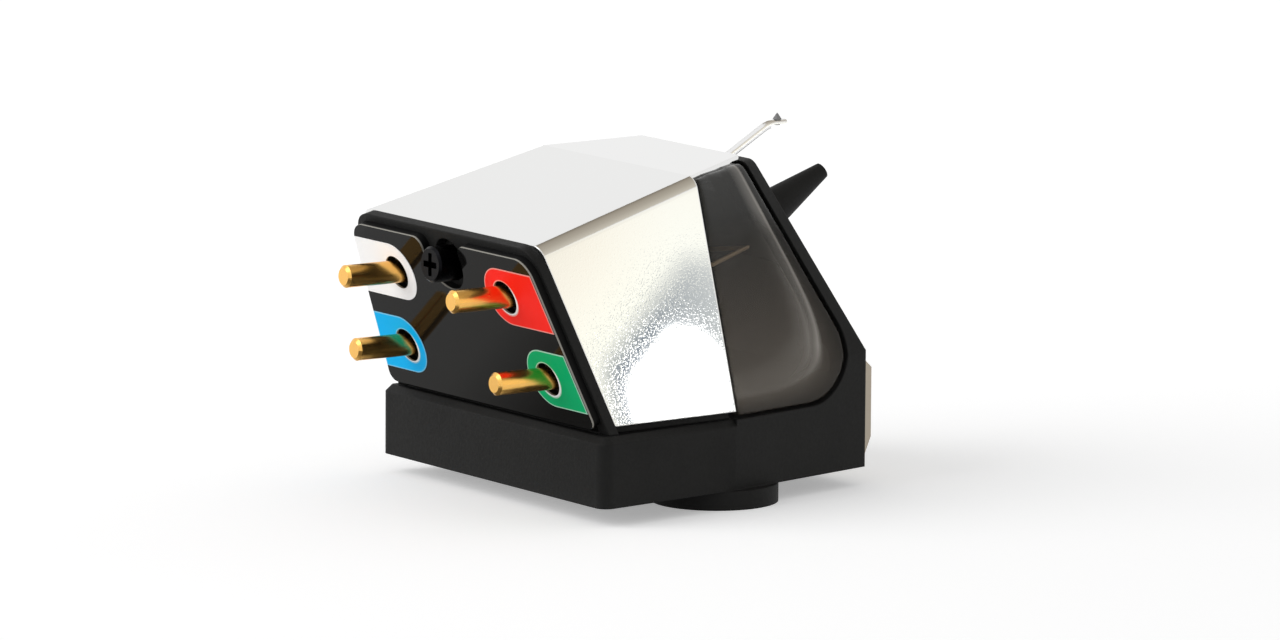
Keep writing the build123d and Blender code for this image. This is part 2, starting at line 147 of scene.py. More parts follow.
def add_node(tree, kind, inputs=None, **settings):
    """A node with its settings, and its inputs set to values or linked to other nodes' outputs."""
    made = tree.nodes.new(kind)
    for name, value in settings.items():
        setattr(made, name, value)
    for name, value in (inputs or {}).items():
        if isinstance(value, bpy.types.NodeSocket):
            tree.links.new(value, made.inputs[name])
        else:
            made.inputs[name].default_value = value
    return made


def new_material(name, build):
    """A material whose surface is the socket that build returns for its empty tree."""
    material = bpy.data.materials.new(name)
    material.use_nodes = True
    tree = material.node_tree
    tree.nodes.clear()
    add_node(tree, "ShaderNodeOutputMaterial", {"Surface": build(tree)})
    return material


def grain(size_mm):
    """Noise scale that gives a grain of a size in millimetres."""
    return 1 / (size_mm * MM)


def leaning(degrees):
    """Direction to the front, turned upwards by a lean."""
    return Vector((0, cos(radians(degrees)), sin(radians(degrees))))


def distance_along(tree, place, start, direction):
    """How far a place lies from a start along a direction."""
    offset = add_node(tree, "ShaderNodeVectorMath", {0: place, 1: start}, operation="SUBTRACT")
    return add_node(
        tree,
        "ShaderNodeVectorMath",
        {0: offset.outputs["Vector"], 1: direction},
        operation="DOT_PRODUCT",
    ).outputs["Value"]


def dress(material, *names):
    """Gives CAD nodes a material."""
    for name in names:
        for slot in nodes[name].material_slots:
            slot.material = material


# Materials


def moulded_nylon(tree):
    """Glass-filled nylon from a spark-eroded tool: matt black with a fine even grain and soft edges."""
    place = add_node(tree, "ShaderNodeTexCoord").outputs["Object"]
    # The real grain is about 0.04 mm; it is drawn four times as coarse, so that it shows
    fine = add_node(tree, "ShaderNodeTexNoise", {"Vector": place, "Scale": grain(0.16), "Detail": 4.0})
    broad = add_node(tree, "ShaderNodeTexNoise", {"Vector": place, "Scale": grain(2.5), "Detail": 3.0})
    shade = add_node(tree, "ShaderNodeValToRGB", {"Fac": broad.outputs["Fac"]})
    shade.color_ramp.elements[0].color = linear("#0e0e0e")
    shade.color_ramp.elements[1].color = linear("#1b1b1a")
    rough = add_node(
        tree, "ShaderNodeMapRange", {"Value": fine.outputs["Fac"], "To Min": 0.5, "To Max": 0.72}
    )
    edge = add_node(tree, "ShaderNodeBevel", {"Radius": 0.12 * MM}, samples=6)
    bump = add_node(
        tree,
        "ShaderNodeBump",
        {
            "Strength": 0.45,
            "Distance": 0.02 * MM,
            "Height": fine.outputs["Fac"],
            "Normal": edge.outputs["Normal"],
        },
    )
    return add_node(
        tree,
        "ShaderNodeBsdfPrincipled",
        {
            "Base Color": shade.outputs["Color"],
            "Roughness": rough.outputs["Result"],
            "IOR": 1.53,
            "Specular IOR Level": 0.15,
            "Normal": bump.outputs["Normal"],
        },
    ).outputs["BSDF"]


def polished_sheet(tree):
    """Aluminium sheet, rolled and polished: a bright mirror with fine pits that break its edges up."""
    place = add_node(tree, "ShaderNodeTexCoord").outputs["Object"]
    # The real pits are about 0.02 mm; they are drawn five times as coarse, so that they show
    fine = add_node(tree, "ShaderNodeTexNoise", {"Vector": place, "Scale": grain(0.1), "Detail": 1.0})
    broad = add_node(tree, "ShaderNodeTexNoise", {"Vector": place, "Scale": grain(3.0), "Detail": 2.0})
    rough = add_node(
        tree, "ShaderNodeMapRange", {"Value": broad.outputs["Fac"], "To Min": 0.02, "To Max": 0.05}
    )
    pits = add_node(
        tree, "ShaderNodeMapRange", {"Value": fine.outputs["Fac"], "From Min": 0.52, "From Max": 0.72}
    )
    edge = add_node(tree, "ShaderNodeBevel", {"Radius": 0.1 * MM}, samples=6)
    bump = add_node(
        tree,
        "ShaderNodeBump",
        {
            "Strength": 0.6,
            "Distance": 0.0008 * MM,
            "Height": pits.outputs["Result"],
            "Normal": edge.outputs["Normal"],
        },
    )
    return add_node(
        tree,
        "ShaderNodeBsdfPrincipled",
        {
            "Base Color": linear("#e6e6e5"),
            "Metallic": 1.0,
            "Roughness": rough.outputs["Result"],
            "Normal": bump.outputs["Normal"],
        },
    ).outputs["BSDF"]


def window_rim(tree, place, rise):
    """How deep a place lies inside the window's rim, along its foot, its round corner and its front."""
    behind = distance_along(tree, place, WINDOW_FRONT, -leaning(WINDOW_FRONT_LEAN))
    above = distance_along(tree, place, (0, 0, WINDOW_FOOT), (0, 0, 1))
    inside = add_node(
        tree, "ShaderNodeMath", {0: behind, 1: above, 2: WINDOW_CORNER}, operation="SMOOTH_MIN"
    )
    depth = add_node(tree, "ShaderNodeMapRange", {"Value": inside.outputs[0], "From Max": WINDOW_RIM})
    narrower = add_node(
        tree, "ShaderNodeMapRange", {"Value": rise, "From Min": 0.25, "To Min": 1.0, "To Max": 1.6}
    )
    return add_node(
        tree,
        "ShaderNodeMath",
        {0: depth.outputs["Result"], 1: narrower.outputs["Result"]},
        operation="MULTIPLY",
    ).outputs[0]


def window_rim_highlight(tree, depth, rise):
    """Strength of the painted highlight band in the rim: sharp to the outside, soft to the inside, faint at
    the foot.
    """
    across = add_node(tree, "ShaderNodeValToRGB", {"Fac": depth})
    across.color_ramp.elements[0].position = 0.29
    across.color_ramp.elements[1].position = 0.8
    across.color_ramp.elements[1].color = (0, 0, 0, 1)
    for position, level in ((0.36, 1.0), (0.43, 0.5)):
        across.color_ramp.elements.new(position).color = (level, level, level, 1)
    upwards = add_node(tree, "ShaderNodeValToRGB", {"Fac": rise})
    upwards.color_ramp.elements[0].color = (0.2, 0.2, 0.2, 1)
    upwards.color_ramp.elements[1].color = (0.6, 0.6, 0.6, 1)
    for position, level in ((0.09, 0.25), (0.24, 0.9)):
        upwards.color_ramp.elements.new(position).color = (level, level, level, 1)
    return add_node(
        tree,
        "ShaderNodeMath",
        {0: across.outputs["Color"], 1: upwards.outputs["Color"]},
        operation="MULTIPLY",
    ).outputs[0]


def window_colour(tree, place, depth, rise, rim_highlight):
    """Brown smoke, paler to the foot as a painted reflection and deepening to the top as painted shade;
    painted shade at the rim, a painted highlight in the band and a black painted shadow line along the rear
    edge.
    """
    # Brown smoke with painted light: paler to the foot as a painted reflection, darker to the top as painted
    # shade
    smoke_and_foot_reflection = add_node(tree, "ShaderNodeValToRGB", {"Fac": rise})
    smoke_and_foot_reflection.color_ramp.elements[0].color = linear("#867d72")
    smoke_and_foot_reflection.color_ramp.elements[1].position = 0.8
    smoke_and_foot_reflection.color_ramp.elements[1].color = linear("#2b2a26")
    # Painted shade: darker towards the outer rim, where the rolled edge would mirror the black frame
    inward = add_node(
        tree, "ShaderNodeMapRange", {"Value": depth, "From Min": 0.05, "From Max": 0.3, "To Min": 0.35}
    )
    rim_shaded = add_node(
        tree,
        "ShaderNodeMix",
        {"Factor": inward.outputs["Result"], "A": linear("#151412"), "B": smoke_and_foot_reflection.outputs["Color"]},
        data_type="RGBA",
    )
    # Painted highlight: the pale band in the rim
    highlighted = add_node(
        tree,
        "ShaderNodeMix",
        {"Factor": rim_highlight, "A": rim_shaded.outputs["Result"], "B": linear("#c4bfb7")},
        data_type="RGBA",
    )
    # Painted shadow: a black line along the rear edge, where the gap to the cover lies
    ahead = distance_along(tree, place, WINDOW_REAR, leaning(WINDOW_REAR_LEAN))
    clear = add_node(
        tree,
        "ShaderNodeMapRange",
        {"Value": ahead, "From Min": WINDOW_SHADOW_LINE, "From Max": WINDOW_SHADOW_LINE + WINDOW_SHADOW_FADE},
    )
    return add_node(
        tree,
        "ShaderNodeMix",
        {"Factor": clear.outputs["Result"], "A": linear("#060606"), "B": highlighted.outputs["Result"]},
        data_type="RGBA",
    ).outputs["Result"]


def smoked_acrylic(tree):
    """Smoked acrylic, moulded and polished: clear brown, with painted shade that makes it nearly black to
    the top and a painted highlight in the inner rim.
    """
    place = add_node(tree, "ShaderNodeTexCoord").outputs["Object"]
    haze = add_node(tree, "ShaderNodeTexNoise", {"Vector": place, "Scale": grain(1.5), "Detail": 3.0})
    rough = add_node(
        tree, "ShaderNodeMapRange", {"Value": haze.outputs["Fac"], "To Min": 0.03, "To Max": 0.08}
    )
    height = add_node(tree, "ShaderNodeSeparateXYZ", {"Vector": place}).outputs["Z"]
    rise = add_node(
        tree, "ShaderNodeMapRange", {"Value": height, "From Min": WINDOW_FOOT, "From Max": WINDOW_TOP}
    ).outputs["Result"]
    depth = window_rim(tree, place, rise)
    rim_highlight = window_rim_highlight(tree, depth, rise)
    # More opaque to the top, where the dark painted shade covers the inside
    top_shade_opacity = add_node(
        tree,
        "ShaderNodeMapRange",
        {"Value": rise, "From Min": 0.7, "From Max": 0.82, "To Min": 0.44, "To Max": 0.92},
    )
    # The painted highlight band is also made more opaque
    opacity = add_node(
        tree, "ShaderNodeMath", {0: rim_highlight, 1: 0.3, 2: top_shade_opacity.outputs["Result"]}, operation="MULTIPLY_ADD"
    )
    return add_node(
        tree,
        "ShaderNodeBsdfPrincipled",
        {
            "Base Color": window_colour(tree, place, depth, rise, rim_highlight),
            "Roughness": rough.outputs["Result"],
            "IOR": 1.49,
            "Specular IOR Level": 0.2,
            "Alpha": opacity.outputs[0],
        },
    ).outputs["BSDF"]


def lacquered_laminate(tree):
    """Glass-epoxy laminate under black gloss lacquer: deep gloss, and a pale line where it was cut."""
    place = add_node(tree, "ShaderNodeTexCoord").outputs["Object"]
    outward = -leaning(PLATE_LEAN)
    line = add_node(
        tree,
        "ShaderNodeMapRange",
        {
            "Value": distance_along(tree, place, PLATE_FOOT, outward),
            "From Min": -PLATE_SKIN,
            "From Max": PLATE_SKIN_FADE - PLATE_SKIN,
        },
    )
    normal = add_node(tree, "ShaderNodeNewGeometry").outputs["Normal"]
    facing = add_node(tree, "ShaderNodeVectorMath", {0: normal, 1: outward}, operation="DOT_PRODUCT")
    cut = add_node(
        tree,
        "ShaderNodeMapRange",
        {"Value": facing.outputs["Value"], "From Min": 0.6, "From Max": 0.5},
    )
    bare = add_node(
        tree, "ShaderNodeMath", {0: line.outputs["Result"], 1: cut.outputs["Result"]}, operation="MULTIPLY"
    )
    colour = add_node(tree, "ShaderNodeValToRGB", {"Fac": bare.outputs[0]})
    colour.color_ramp.elements[0].color = linear("#0d0d0d")
    colour.color_ramp.elements[1].color = linear("#a8a59d")
    rough = add_node(
        tree, "ShaderNodeMapRange", {"Value": cut.outputs["Result"], "To Min": 0.06, "To Max": 0.5}
    )
    return add_node(
        tree,
        "ShaderNodeBsdfPrincipled",
        {
            "Base Color": colour.outputs["Color"],
            "Roughness": rough.outputs["Result"],
            "IOR": 1.52,
            "Specular IOR Level": 0.08,
        },
    ).outputs["BSDF"]


def printed_ink(colour):
    """Epoxy ink, screen-printed in a colour: strong and even, slightly raised, with a satin gloss."""
    def build(tree):
        place = add_node(tree, "ShaderNodeTexCoord").outputs["Object"]
        speck = add_node(tree, "ShaderNodeTexNoise", {"Vector": place, "Scale": grain(0.25), "Detail": 2.0})
        rough = add_node(
            tree, "ShaderNodeMapRange", {"Value": speck.outputs["Fac"], "To Min": 0.36, "To Max": 0.54}
        )
        bump = add_node(
            tree,
            "ShaderNodeBump",
            {"Strength": 0.12, "Distance": 0.008 * MM, "Height": speck.outputs["Fac"]},
        )
        return add_node(
            tree,
            "ShaderNodeBsdfPrincipled",
            {
                "Base Color": linear(colour),
                "Roughness": rough.outputs["Result"],
                "IOR": 1.5,
                "Specular IOR Level": 0.05,
                "Normal": bump.outputs["Normal"],
            },
        ).outputs["BSDF"]

    return build


def gold_plated_brass(tree):
    """Brass, turned and gold-plated: warm metal with faint rings from the lathe."""
    place = add_node(tree, "ShaderNodeTexCoord").outputs["Object"]
    # The tool marks are a few hundredths of a millimetre apart; they are drawn at 0.12 mm, so that they show
    rings = add_node(
        tree,
        "ShaderNodeTexWave",
        {"Vector": place, "Scale": grain(0.12) / 20, "Distortion": 1.5, "Detail": 2.0},
        bands_direction="Y",
    )
    smear = add_node(tree, "ShaderNodeTexNoise", {"Vector": place, "Scale": grain(0.5), "Detail": 3.0})
    rough = add_node(
        tree, "ShaderNodeMapRange", {"Value": smear.outputs["Fac"], "To Min": 0.18, "To Max": 0.3}
    )
    bump = add_node(
        tree,
        "ShaderNodeBump",
        {"Strength": 0.12, "Distance": 0.01 * MM, "Height": rings.outputs["Fac"]},
    )
    return add_node(
        tree,
        "ShaderNodeBsdfPrincipled",
        {
            "Base Color": linear("#f3bd66"),
            "Metallic": 1.0,
            "Roughness": rough.outputs["Result"],
            "Normal": bump.outputs["Normal"],
        },
    ).outputs["BSDF"]


def plain_metal(colour, roughness, grain_mm):
    """Bare metal with a fine grain that softens its shine; colour, mean roughness and grain vary."""
    def build(tree):
        place = add_node(tree, "ShaderNodeTexCoord").outputs["Object"]
        fine = add_node(
            tree, "ShaderNodeTexNoise", {"Vector": place, "Scale": grain(grain_mm), "Detail": 3.0}
        )
        rough = add_node(
            tree,
            "ShaderNodeMapRange",
            {"Value": fine.outputs["Fac"], "To Min": roughness * 0.7, "To Max": roughness * 1.3},
        )
        bump = add_node(
            tree,
            "ShaderNodeBump",
            {"Strength": 0.1, "Distance": 0.01 * MM, "Height": fine.outputs["Fac"]},
        )
        return add_node(
            tree,
            "ShaderNodeBsdfPrincipled",
            {
                "Base Color": linear(colour),
                "Metallic": 1.0,
                "Roughness": rough.outputs["Result"],
                "Normal": bump.outputs["Normal"],
            },
        ).outputs["BSDF"]

    return build


def wound_copper(tree):
    """Enamelled copper wire, wound: warm varnished metal with the ridges of the turns, painted shade in the
    grooves and a painted highlight on the ridges.
    """
    place = add_node(tree, "ShaderNodeTexCoord").outputs["Object"]
    # The real wire is about 0.04 mm thick; its turns are drawn at 0.1 mm, so that they show
    turns = add_node(
        tree,
        "ShaderNodeTexWave",
        {"Vector": place, "Scale": grain(0.1) / 20, "Distortion": 0.4},
        bands_direction="Y",
    )
    # Painted shade in the grooves between the turns, painted highlight on their ridges
    turn_shading = add_node(tree, "ShaderNodeValToRGB", {"Fac": turns.outputs["Fac"]})
    turn_shading.color_ramp.elements[0].color = linear("#8f4f2c")
    turn_shading.color_ramp.elements[1].color = linear("#cf8152")
    bump = add_node(
        tree,
        "ShaderNodeBump",
        {"Strength": 0.4, "Distance": 0.02 * MM, "Height": turns.outputs["Fac"]},
    )
    return add_node(
        tree,
        "ShaderNodeBsdfPrincipled",
        {
            "Base Color": turn_shading.outputs["Color"],
            "Metallic": 1.0,
            "Roughness": 0.3,
            "Coat Weight": 0.6,
            "Normal": bump.outputs["Normal"],
        },
    ).outputs["BSDF"]


def soft_rubber(tree):
    """Butyl rubber, moulded: dead black and matt."""
    place = add_node(tree, "ShaderNodeTexCoord").outputs["Object"]
    fine = add_node(tree, "ShaderNodeTexNoise", {"Vector": place, "Scale": grain(0.1), "Detail": 3.0})
    rough = add_node(
        tree, "ShaderNodeMapRange", {"Value": fine.outputs["Fac"], "To Min": 0.7, "To Max": 0.9}
    )
    return add_node(
        tree,
        "ShaderNodeBsdfPrincipled",
        {"Base Color": linear("#161616"), "Roughness": rough.outputs["Result"], "IOR": 1.52},
    ).outputs["BSDF"]


def cut_diamond(tree):
    """Diamond, ground and polished: a dark glint at this size."""
    place = add_node(tree, "ShaderNodeTexCoord").outputs["Object"]
    facets = add_node(tree, "ShaderNodeTexNoise", {"Vector": place, "Scale": grain(0.1)})
    rough = add_node(
        tree, "ShaderNodeMapRange", {"Value": facets.outputs["Fac"], "To Min": 0.05, "To Max": 0.15}
    )
    return add_node(
        tree,
        "ShaderNodeBsdfPrincipled",
        {"Base Color": linear("#3a3a3c"), "Roughness": rough.outputs["Result"], "IOR": 2.42},
    ).outputs["BSDF"]


nylon = new_material("Glass-filled nylon, moulded black", moulded_nylon)
sheet = new_material("Aluminium sheet, polished", polished_sheet)
acrylic = new_material("Smoked acrylic, moulded", smoked_acrylic)
laminate = new_material("Epoxy laminate, black lacquer", lacquered_laminate)
gold = new_material("Brass, turned and gold-plated", gold_plated_brass)
blackened = new_material("Steel, blackened", plain_metal("#121214", 0.3, 0.15))
satin = new_material("Aluminium, satin anodised", plain_metal("#a69d90", 0.38, 0.12))
drawn = new_material("Aluminium tube, drawn", plain_metal("#ececec", 0.18, 0.1))
bright_steel = new_material("Steel, bright drawn", plain_metal("#a8a8aa", 0.25, 0.1))
copper = new_material("Copper wire, enamelled", wound_copper)
pale_copper = new_material("Copper wire, pale drawn", plain_metal("#ffe3bd", 0.45, 0.1))
rubber = new_material("Butyl rubber, moulded", soft_rubber)
diamond = new_material("Diamond, ground", cut_diamond)

dress(nylon, "chassis", "generator_carrier")
dress(sheet, "shield_cover")
dress(laminate, "terminal_plate")
dress(gold, *[f"terminal_pin_{colour}" for colour in ("white", "blue", "red", "green")])
dress(blackened, "retaining_screw", "magnet")
dress(satin, "front_plate", "suspension_holder")
dress(drawn, "cantilever")
dress(diamond, "stylus")
dress(rubber, "damper_ring")
dress(bright_steel, "tie_wire")
dress(pale_copper, "lead_wire_left", "lead_wire_right")
for row in ("lower", "upper"):
    for column in ("left", "right"):
        dress(bright_steel, f"pole_piece_{row}_{column}")
        dress(copper, f"coil_{row}_{column}")


# Prints on the rear plate


def choose(piece):
    """Makes a piece the only one chosen, in object mode."""
    if bpy.context.mode != "OBJECT":
        bpy.ops.object.mode_set(mode="OBJECT")
    bpy.ops.object.select_all(action="DESELECT")
    piece.select_set(True)
    bpy.context.view_layer.objects.active = piece


def edit(piece):
    """Makes a piece the only one chosen, in edit mode with nothing selected."""
    choose(piece)
    bpy.ops.object.mode_set(mode="EDIT")
    bpy.ops.mesh.select_all(action="DESELECT")


def pick(piece, elements, test):
    """Selects the vertices or polygons that pass a test, in edit mode."""
    kinds = {"vertices": "VERT", "polygons": "FACE"}
    bpy.ops.mesh.select_mode(type=kinds[elements])
    bpy.ops.mesh.select_all(action="DESELECT")
    bpy.ops.object.mode_set(mode="OBJECT")
    for element in getattr(piece.data, elements):
        element.select = test(element)
    bpy.ops.object.mode_set(mode="EDIT")


def copied(piece, name):
    """Copy of a piece with its own mesh."""
    made = piece.copy()
    made.data = piece.data.copy()
    made.name = name
    made.data.name = name
    bpy.context.scene.collection.objects.link(made)
    return made


def pin_middle(pin):
    """Sideways place and height of a pin's axis."""
    low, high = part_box(pin)
    return (low[0] + high[0]) / 2, (low[2] + high[2]) / 2


def plate_place(pin):
    """Matrix that lays a flat piece on the rear plate's outer face, its middle on a pin's axis."""
    x, height = pin_middle(pin)
    lean = radians(PLATE_LEAN)
    across = Vector((1, 0, 0))
    up = Vector((0, -sin(lean), cos(lean)))
    out = -leaning(PLATE_LEAN)
    middle = PLATE_FOOT + across * x + up * (height - PLATE_FOOT.z) / cos(lean)
    turned = Matrix((across, up, out)).transposed().to_4x4()
    return Matrix.Translation(middle) @ turned


def start_print(name, radius):
    """New flat circle for a print, in edit mode with nothing selected."""
    bpy.ops.object.select_all(action="DESELECT")
    bpy.ops.mesh.primitive_circle_add(vertices=FIELD_STEPS, radius=radius)
    piece = bpy.context.object
    piece.name = name
    piece.data.name = name
    edit(piece)
    return piece


def raise_print(piece, thickness):
    """Turns a flat printed shape to face outwards and gives it the ink's thickness."""
    pick(piece, "polygons", lambda face: face.normal.z < 0)
    bpy.ops.mesh.flip_normals()
    bpy.ops.object.mode_set(mode="OBJECT")
    raised = piece.modifiers.new("raised", "SOLIDIFY")
    raised.thickness = thickness
    raised.offset = 1
    bpy.ops.object.modifier_apply(modifier=raised.name)


def lay_print(piece, pin):
    """Applies a print's place on the rear plate to its mesh and lets it ride."""
    choose(piece)
    piece.matrix_world = plate_place(pin)
    bpy.ops.object.transform_apply(location=True, rotation=True, scale=True)
    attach(piece, BODY)


def border_print(piece, ink, border):
    """Insets a flat printed shape, its face in the ink and its narrow border in another."""
    bpy.ops.object.mode_set(mode="OBJECT")
    piece.data.materials.append(ink)
    piece.data.materials.append(border)
    edit(piece)
    bpy.ops.mesh.select_mode(type="FACE")
    bpy.ops.mesh.select_all(action="SELECT")
    bpy.ops.mesh.inset(thickness=FIELD_BORDER)
    bpy.ops.mesh.select_all(action="INVERT")
    piece.active_material_index = 1
    bpy.ops.object.material_slot_assign()


def colour_field(name, pin, ink, border):
    """Printed field round a pin: round towards the middle, cut along the plate's side, open at the hole."""
    x, height = pin_middle(pin)
    side = 1 if x > 0 else -1
    rise = (height - PLATE_FOOT.z) / cos(radians(PLATE_LEAN))
    reach = PLATE_FOOT_HALF + PLATE_SIDE_SLOPE * rise - abs(x) - FIELD_EDGE_GAP
    field = start_print(name, FIELD_RADIUS)
    pick(field, "vertices", lambda v: v.co.x * side > 0.01 * FIELD_RADIUS)
    bpy.ops.transform.resize(value=(0, 1, 1), center_override=(side * FIELD_OVERRUN * reach, 0, 0))
    bpy.ops.mesh.select_all(action="DESELECT")
    bpy.ops.mesh.primitive_circle_add(vertices=FIELD_STEPS, radius=FIELD_OPENING)
    bpy.ops.transform.translate(value=FIELD_OPENING_SHIFT)
    bpy.ops.mesh.select_all(action="SELECT")
    bpy.ops.mesh.bridge_edge_loops()
    bpy.ops.mesh.select_all(action="SELECT")
    bpy.ops.mesh.bisect(
        plane_co=(side * reach, 0, 0),
        plane_no=(side, -PLATE_SIDE_SLOPE, 0),
        clear_outer=True,
    )
    border_print(field, ink, border)
    raise_print(field, FIELD_THICKNESS)
    lay_print(field, pin)


def hole_highlight_ring(ink):
    """White ring printed under a field: the field's opening, a little off centre, bares a crescent of it, a
    painted highlight on the hole's edge.
    """
    ring = start_print("hole_highlight_ring", RING_RADIUS)
    bpy.ops.mesh.primitive_circle_add(vertices=FIELD_STEPS, radius=RING_HOLE)
    bpy.ops.transform.resize(value=(1, 1 / cos(radians(PLATE_LEAN)), 1), center_override=(0, 0, 0))
    bpy.ops.mesh.select_all(action="SELECT")
    bpy.ops.mesh.bridge_edge_loops()
    raise_print(ring, RING_THICKNESS)
    ring.data.materials.append(ink)
    return ring


# Each field's ink, and the ink of its border
INKS = {
    "white": ("#ffffff", "#ffffff"),
    "blue": ("#00b8fb", "#7ccaf0"),
    "red": ("#ff2519", "#f59a90"),
    "green": ("#00aa69", "#a8d8c0"),
}
# White ink of the rings, which show as a painted highlight at each hole
highlight_ink = new_material("Epoxy ink, white painted_highlight", printed_ink("#fafafa"))
ring = hole_highlight_ring(highlight_ink)
for colour, (ink_colour, border_colour) in INKS.items():
    pin = f"terminal_pin_{colour}"
    ink = new_material(f"Epoxy ink, screen-printed {colour}", printed_ink(ink_colour))
    border = new_material(f"Epoxy ink, {colour} edge", printed_ink(border_colour))
    colour_field(f"colour_field_{colour}", pin, ink, border)
    lay_print(copied(ring, f"hole_highlight_ring_{colour}"), pin)
bpy.data.meshes.remove(ring.data)


# Window with a rolled rim


def rolled_window():
    """Copy of the window on an even mesh, smoothed until its edges roll over as a moulding's do."""
    window = copied(nodes["front_window"], "window_hood")
    edit(window)
    bpy.ops.mesh.select_all(action="SELECT")
    bpy.ops.mesh.remove_doubles(threshold=WINDOW_MERGE)
    bpy.ops.object.mode_set(mode="OBJECT")
    even = window.modifiers.new("even", "REMESH")
    even.mode = "VOXEL"
    even.voxel_size = WINDOW_GRID
    rolled = window.modifiers.new("rolled", "SMOOTH")
    rolled.iterations = WINDOW_ROLLS
    for modifier in ("even", "rolled"):
        bpy.ops.object.modifier_apply(modifier=modifier)
    bpy.ops.object.shade_smooth()
    window.data.materials.clear()
    window.data.materials.append(acrylic)
    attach(window, BODY)
    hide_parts("front_window")


rolled_window()


# Materials of the stage


def seen_directly(tree):
    """One where the lens, a reflection or a refraction looks, and zero where light is gathered."""
    path = add_node(tree, "ShaderNodeLightPath")
    mirror = add_node(
        tree,
        "ShaderNodeMath",
        {0: path.outputs["Is Camera Ray"], 1: path.outputs["Is Glossy Ray"]},
        operation="MAXIMUM",
    )
    return add_node(
        tree,
        "ShaderNodeMath",
        {0: mirror.outputs[0], 1: path.outputs["Is Transmission Ray"]},
        operation="MAXIMUM",
    ).outputs[0]


def seamless_paper(tree):
    """White paper, rolled out flat: it takes the shadow, and a painted glow, brighter to the back, lifts it
    to white.
    """
    place = add_node(tree, "ShaderNodeTexCoord").outputs["Object"]
    backwards = (-sin(radians(CAMERA_AZIMUTH)), cos(radians(CAMERA_AZIMUTH)), 0)
    paper = add_node(tree, "ShaderNodeBsdfDiffuse", {"Color": linear("#f4f4f4")})
    # Painted glow on the paper, brighter to the back
    glow_to_back = add_node(
        tree,
        "ShaderNodeMapRange",
        {
            "Value": distance_along(tree, place, (0, 0, 0), backwards),
            "From Min": FLOOR_NEAR,
            "From Max": FLOOR_FAR,
            "To Min": FLOOR_LIFT_NEAR,
            "To Max": FLOOR_LIFT_FAR,
        },
    )
    lift = add_node(
        tree, "ShaderNodeMath", {0: glow_to_back.outputs["Result"], 1: seen_directly(tree)}, operation="MULTIPLY"
    )
    white = add_node(tree, "ShaderNodeEmission", {"Strength": lift.outputs[0]})
    return add_node(
        tree, "ShaderNodeAddShader", {0: paper.outputs["BSDF"], 1: white.outputs["Emission"]}
    ).outputs["Shader"]


def card_tone(tree, place, past):
    """Blue-grey round the glare that turns to cream, past a straight edge and outside a ring."""
    outside = add_node(tree, "ShaderNodeVectorMath", {0: place, 1: BAND_PLACE}, operation="DISTANCE")
    beside = add_node(
        tree,
        "ShaderNodeMapRange",
        {"Value": past, "From Min": BAND_EDGE, "From Max": BAND_EDGE + CREAM_END},
    )
    below = add_node(
        tree,
        "ShaderNodeMapRange",
        {"Value": outside.outputs["Value"], "From Min": BAND_RADIUS, "From Max": BAND_RADIUS + CREAM_END},
    )
    fade = add_node(
        tree,
        "ShaderNodeMath",
        {0: beside.outputs["Result"], 1: below.outputs["Result"]},
        operation="MAXIMUM",
    )
    tone = add_node(tree, "ShaderNodeValToRGB", {"Fac": fade.outputs[0]})
    tone.color_ramp.elements[0].color = linear("#727d89")
    tone.color_ramp.elements[1].color = linear("#ece7da")
    for position, colour in ((0.18, "#fefef2"), (0.62, "#f6f1e4")):
        tone.color_ramp.elements.new(position).color = linear(colour)
    paler = add_node(
        tree,
        "ShaderNodeMapRange",
        {
            "Value": distance_along(tree, place, (0, 0, 0), BAND_ALONG),
            "From Min": BAND_DARK,
            "From Max": BAND_PALE,
            "To Max": 0.5,
        },
    )
    return add_node(
        tree,
        "ShaderNodeMix",
        {"Factor": paler.outputs["Result"], "A": tone.outputs["Color"], "B": linear("#f6f7f2")},
        data_type="RGBA",
    ).outputs["Result"]


def glare_rim(tree, place, past):
    """Zero in the glare and one outside it: a disc with a straight cut."""
    away = add_node(tree, "ShaderNodeVectorMath", {0: place, 1: GLARE_PLACE}, operation="DISTANCE")
    arc = add_node(
        tree,
        "ShaderNodeMapRange",
        {"Value": away.outputs["Value"], "From Min": GLARE_RADIUS, "From Max": GLARE_RADIUS + GLARE_RIM},
    )
    cut = add_node(
        tree,
        "ShaderNodeMapRange",
        {"Value": past, "From Min": GLARE_CUT, "From Max": GLARE_CUT + GLARE_RIM},
    )
    return add_node(
        tree, "ShaderNodeMath", {0: arc.outputs["Result"], 1: cut.outputs["Result"]}, operation="MAXIMUM"
    ).outputs[0]


def toned_card(tree):
    """Cream card with a glaring patch: the blue-grey left between them falls across the cover's side."""
    place = add_node(tree, "ShaderNodeTexCoord").outputs["Object"]
    past = distance_along(tree, place, (0, 0, 0), BAND_OUTWARD)
    rim = glare_rim(tree, place, past)
    colour = add_node(
        tree,
        "ShaderNodeMix",
        {"Factor": rim, "A": linear("#ffffff"), "B": card_tone(tree, place, past)},
        data_type="RGBA",
    )
    strength = add_node(
        tree, "ShaderNodeMapRange", {"Value": rim, "To Min": GLARE_GLOW, "To Max": CARD_GLOW}
    )
    return add_node(
        tree,
        "ShaderNodeEmission",
        {"Color": colour.outputs["Result"], "Strength": strength.outputs["Result"]},
    ).outputs["Emission"]


